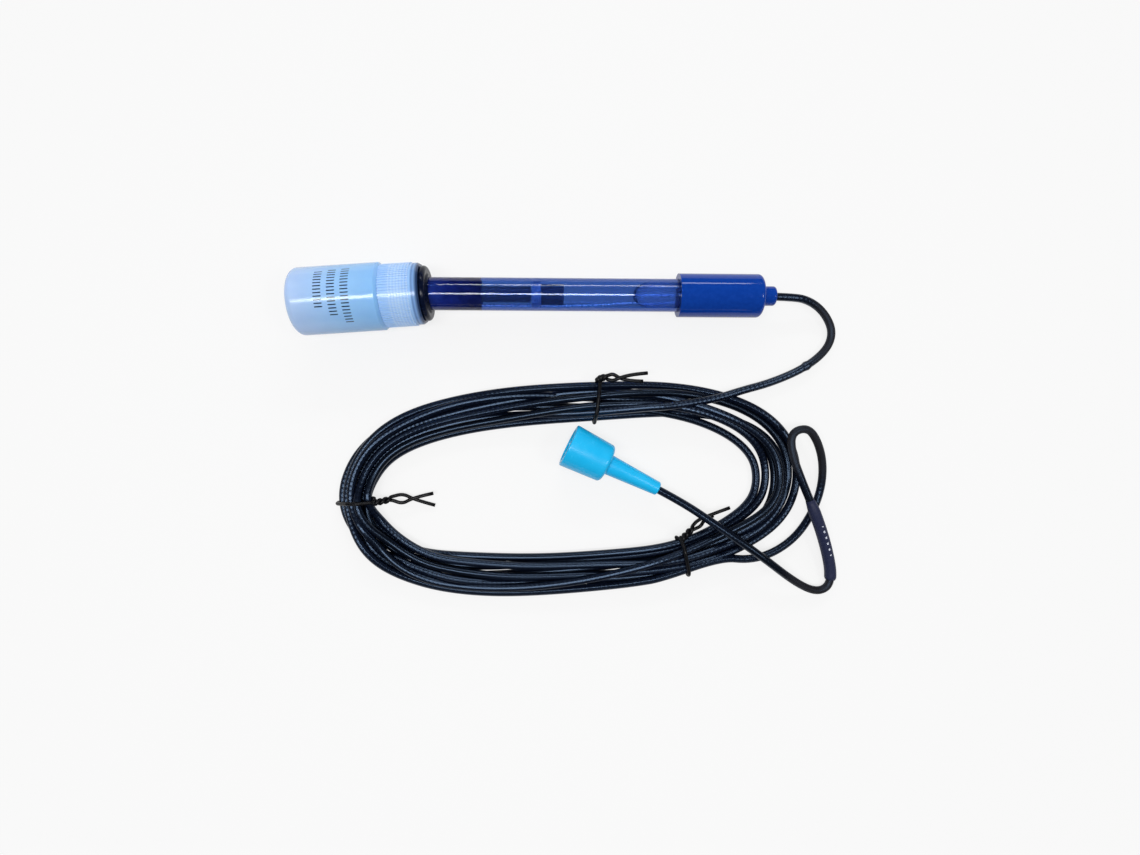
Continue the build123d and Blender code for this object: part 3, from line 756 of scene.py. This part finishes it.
# Shrunk sleeve: matt, with plain white dashes along one side
dashes_first, dashes_last = 0.0105, 0.0235
dash_half_pitch = 0.0013
dash_half = 0.00045
dash_side = 0.6
dash_half_turn = 0.024
sleeve_mat, tree, shader = material("shrink_sleeve", Specular_IOR_Level=0.35)
noise = grain(tree, shader, scale=1400, roughness=(0.46, 0.62), depth=0.00003)
run, turn = tube_place(tree)
after_first = calc(tree, "GREATER_THAN", run, dashes_first)
before_last = calc(tree, "LESS_THAN", run, dashes_last)
dash = calc(tree, "LESS_THAN", calc(tree, "PINGPONG", run, dash_half_pitch), dash_half)
on_side = calc(tree, "COMPARE", turn, dash_side, dash_half_turn)
marks = product(tree, after_first, before_last, dash, on_side)
black = mixed(tree, noise, (0.008, 0.012, 0.04), (0.018, 0.024, 0.075))
tree.links.new(mixed(tree, marks, black, (0.62, 0.66, 0.75)), shader.inputs["Base Color"])
paint(sleeve_mat, sleeve)

grained(
    "tie_plastic", (tie_left, tie_top, tie_bottom),
    scale=1500, roughness=(0.3, 0.46), depth=0.00003,
    colours=((0.002, 0.002, 0.003), (0.006, 0.006, 0.008)), Specular_IOR_Level=0.25,
)

# Clear blue shaft: the depth of plastic that light crosses gives the colour
tree = see_through(
    "clear_blue_plastic", "body_tube",
    scale=60, roughness=(0.005, 0.015), depth=0.0000005, tint=(0.24, 0.38, 0.7),
    Base_Color=(1.0, 1.0, 1.0, 1.0), Transmission_Weight=1.0, IOR=1.49,
)
blue_depth = node(tree, "VolumeAbsorption", {"Color": (0.05, 0.37, 0.77, 1.0), "Density": 1430.0})
tree.links.new(blue_depth.outputs[0], tree.nodes["Material Output"].inputs["Volume"])

# Inside the shaft: gel, glass stem with its dark screen, junction, wires, plugs and the stem's cap
# The gel's dark navy is partly painted shade. The gel fill is real, but its dark colour stands in for the
# darkness that the filled shaft shows through refraction.
grained(
    "electrolyte_gel", (gel,),
    scale=260, roughness=(0.06, 0.16), depth=0.00002,
    colours=((0.07, 0.088, 0.24), (0.1, 0.12, 0.33)),
)
see_through(
    "stem_glass", "glass_stem",
    scale=180, roughness=(0.005, 0.02), depth=0.000002, tint=(0.86, 0.91, 0.95),
    Base_Color=(0.93, 0.96, 0.98, 1.0), Transmission_Weight=1.0, IOR=1.5,
)
grained(
    "stem_screen", (screen,),
    scale=900, roughness=(0.32, 0.5), depth=0.00001,
    colours=((0.045, 0.045, 0.1), (0.08, 0.08, 0.17)),
)
grained(
    "porous_junction", ("reference_junction",),
    scale=2500, roughness=(0.7, 0.9), depth=0.00005,
    colours=((0.66, 0.65, 0.6), (0.82, 0.81, 0.77)),
)
grained(
    "silver_wire", ("reference_wire", "measuring_wire"),
    scale=1200, roughness=(0.2, 0.4), depth=0.00001,
    colours=((0.72, 0.75, 0.8), (0.88, 0.9, 0.94)), Metallic=0.5,
)
see_through(
    "clear_silicone", "chamber_plug",
    scale=600, roughness=(0.15, 0.28), depth=0.00001, tint=(0.8, 0.86, 0.95),
    Base_Color=(0.75, 0.82, 0.95, 1.0), Transmission_Weight=0.8, IOR=1.41,
)
grained(
    "stem_cap_rubber", ("stem_cap",),
    scale=1500, roughness=(0.42, 0.6), depth=0.00003,
    colours=((0.016, 0.024, 0.06), (0.026, 0.038, 0.09)),
)
see_through(
    "potting_resin", "potting_plug",
    scale=400, roughness=(0.04, 0.12), depth=0.00001, tint=(0.8, 0.86, 0.95),
    Base_Color=(0.8, 0.86, 0.97, 1.0), Transmission_Weight=0.9, IOR=1.45,
)

# Cap on the shaft and seal in the collar
grained(
    "blue_cap_plastic", ("electrode_cap",),
    scale=700, roughness=(0.05, 0.1), depth=0.000002,
    colours=((0.002, 0.04, 0.3), (0.003, 0.047, 0.34)), Specular_IOR_Level=0.35,
)
grained(
    "seal_rubber", ("rubber_seal",),
    scale=1200, roughness=(0.16, 0.28), depth=0.00001,
    colours=((0.001, 0.003, 0.015), (0.002, 0.006, 0.025)), Specular_IOR_Level=0.2,
)

# Bottle: translucent, whiter towards its base, with plain printed ticks in three rows round it.
# A row is its place along the bottle in metres, the angle of its first tick and the number of ticks.
tick_rows = ((0.0253, 0.79, 18), (0.03, 0.77, 15), (0.0348, 0.73, 12))
tick_pitch = 0.1
tick_share = 0.34
tick_half = 0.0014
milk_depth = (0.002, 0.002, 0.003)
bottle_mat, tree, shader = material(
    "bottle_plastic",
    Subsurface_Weight=0.25, Subsurface_Radius=milk_depth, Subsurface_Scale=1.0,
)
noise = grain(tree, shader, scale=220, roughness=(0.13, 0.19), depth=0.000004)
along, angle = axis_place(tree, seat, bottle_dir, above)
milky = ramp(
    tree,
    calc(tree, "DIVIDE", along, bottle_length),
    (0.3, (0.27, 0.55, 0.97)),
    (0.62, (0.33, 0.58, 0.97)),
    (0.98, (0.47, 0.63, 0.97)),
)
cloud = mixed(tree, span(tree, noise, 0.25, 0.75), (0.95, 0.96, 0.98), (1.0, 1.0, 1.0))
tinting = {"data_type": "RGBA", "blend_type": "MULTIPLY", 0: 1.0}
blue = node(tree, "Mix", tinting, {6: milky, 7: cloud}).outputs[2]
rows = []
for row, first, count in tick_rows:
    step = calc(tree, "DIVIDE", calc(tree, "SUBTRACT", first, angle), tick_pitch)
    marks = calc(tree, "LESS_THAN", calc(tree, "FRACT", step), tick_share)
    inside = calc(tree, "COMPARE", step, count / 2, count / 2)
    tall = calc(tree, "COMPARE", along, row, tick_half)
    rows.append(product(tree, marks, inside, tall))
tree.links.new(mixed(tree, largest(tree, *rows), blue, (0.012, 0.018, 0.05)), shader.inputs["Base Color"])
paint(bottle_mat, "storage_bottle")

# Collar: its thread shows through as rings, and the black seal through its clear rim
ring_pitch = 0.0011
ring_depth = 0.00006
ring_share = 0.3
rings_middle, rings_half = 0.0071, 0.0039
collar_mat, tree, shader = material(
    "collar_plastic",
    Roughness=0.2, Subsurface_Weight=0.15, Subsurface_Radius=milk_depth, Subsurface_Scale=1.0,
)
along = axis_place(tree, seat, bottle_dir, above)[0]
wall = ramp(
    tree,
    calc(tree, "DIVIDE", along, collar_length),
    (0.03, (0.02, 0.045, 0.12)),
    (0.1, (0.22, 0.4, 0.74)),
    (0.15, (0.12, 0.24, 0.5)),
    (0.19, (0.33, 0.56, 0.93)),
    (0.5, (0.42, 0.64, 0.97)),
    (1.0, (0.36, 0.6, 0.97)),
)
wave = calc(tree, "SINE", calc(tree, "MULTIPLY", along, 2 * math.pi / ring_pitch))
ring = calc(tree, "MULTIPLY_ADD", wave, 0.5, 0.5)
ribbed = product(tree, ring, calc(tree, "COMPARE", along, rings_middle, rings_half))
colour = mixed(tree, product(tree, ribbed, ring_share), wall, (0.75, 0.87, 1.0))
tree.links.new(colour, shader.inputs["Base Color"])
relief(tree, shader, ribbed, ring_depth)
paint(collar_mat, "bottle_collar")

# Plug
grained(
    "boot_plastic", ("connector_boot",),
    scale=250, roughness=(0.2, 0.28), depth=0.000002,
    colours=((0.008, 0.48, 0.89), (0.011, 0.5, 0.91)),
)
grained(
    "nickel", ("bayonet_nut", "plug_body", "spring_washer", "crimp_ferrule"),
    scale=1500, roughness=(0.18, 0.32), depth=0.00001,
    colours=((0.66, 0.64, 0.6), (0.78, 0.76, 0.72)), Metallic=1.0,
)
grained(
    "gold", ("centre_pin",),
    scale=1500, roughness=(0.15, 0.28), depth=0.00001,
    colours=((0.88, 0.62, 0.25), (0.98, 0.75, 0.35)), Metallic=1.0,
)
grained(
    "plug_white", ("plug_insulator",),
    scale=1500, roughness=(0.4, 0.55), depth=0.00002,
    colours=((0.8, 0.8, 0.77), (0.9, 0.9, 0.87)),
)
grained(
    "dark_rubber", ("plug_gasket",),
    scale=1500, roughness=(0.42, 0.6), depth=0.00003,
    colours=((0.006, 0.006, 0.009), (0.016, 0.016, 0.02)),
)

# Floor: white to the camera and in reflections, less so close to the object, where it keeps the shadow
floor_half = 3
floor_gap = 0.0001
near_floor, far_floor = 0.2, 1.0
camera_share = 0.78
mirror_share = 0.3
floor_mesh = bpy.data.meshes.new("floor")
corners = [(-1, -1), (1, -1), (1, 1), (-1, 1)]
floor_mesh.from_pydata([(x * floor_half, y * floor_half, 0) for x, y in corners], [], [(0, 1, 2, 3)])
floor = bpy.data.objects.new("floor", floor_mesh)
floor.location.z = -floor_gap
scene.collection.objects.link(floor)
floor_mat, tree, shader = material(
    "floor", Base_Color=(0.75, 0.75, 0.75, 1.0), Roughness=0.9, Specular_IOR_Level=0.0
)
path = node(tree, "LightPath")
distance = node(tree, "VectorMath", {"operation": "LENGTH"}, {0: node(tree, "TexCoord").outputs["Object"]})
far = distance.outputs["Value"]
seen = product(tree, path.outputs["Is Camera Ray"], span(tree, far, near_floor, far_floor, camera_share, 1.0))
mirrored = largest(tree, path.outputs["Is Transmission Ray"], path.outputs["Is Glossy Ray"])
mirrored = product(tree, mirrored, span(tree, far, near_floor, far_floor, mirror_share, 1.0))
surface(tree, largest(tree, seen, mirrored), shader, node(tree, "Emission"))
floor_mesh.materials.append(floor_mat)

# Light: a white sky that gives a dim fill, more from behind, two softboxes overhead and a narrow window
sky_slope = 0.3
sky_fill = 0.3
sky_glint = 0.08
world = bpy.data.worlds.new("sky")
scene.world = world
world.use_nodes = True
tree = world.node_tree
sky = tree.nodes["Background"]
sky.inputs["Color"].default_value = (1.0, 1.0, 1.0, 1.0)
path = node(tree, "LightPath")
seen = largest(tree, path.outputs["Is Camera Ray"], path.outputs["Is Transmission Ray"])
toward = node(tree, "SeparateXYZ", feeds={0: node(tree, "TexCoord").outputs["Generated"]}).outputs[1]
soft = calc(tree, "MULTIPLY_ADD", toward, sky_slope, sky_fill)
fill = calc(tree, "MULTIPLY_ADD", path.outputs["Is Diffuse Ray"], soft, sky_glint)
tree.links.new(largest(tree, seen, fill), sky.inputs["Strength"])


def softbox(name, place, aim, width, height, power):
    """A rectangular lamp at place that faces aim."""
    lamp = bpy.data.lights.new(name, "AREA")
    lamp.shape = "RECTANGLE"
    lamp.size = width
    lamp.size_y = height
    lamp.energy = power
    obj = bpy.data.objects.new(name, lamp)
    obj.location = place
    obj.rotation_euler = (Vector(aim) - Vector(place)).to_track_quat("-Z", "Y").to_euler()
    scene.collection.objects.link(obj)


softbox("overhead", (-0.13, -0.15, 0.9), (-0.13, -0.04, 0.0), width=0.63, height=0.15, power=4.5)
softbox("right", (0.6, -0.16, 0.9), (0.1, -0.06, 0.0), width=0.24, height=0.2, power=1.6)
softbox("window", (0.1, 0.72, 0.48), (0.1, 0.0, 0.01), width=0.52, height=0.09, power=1.3)
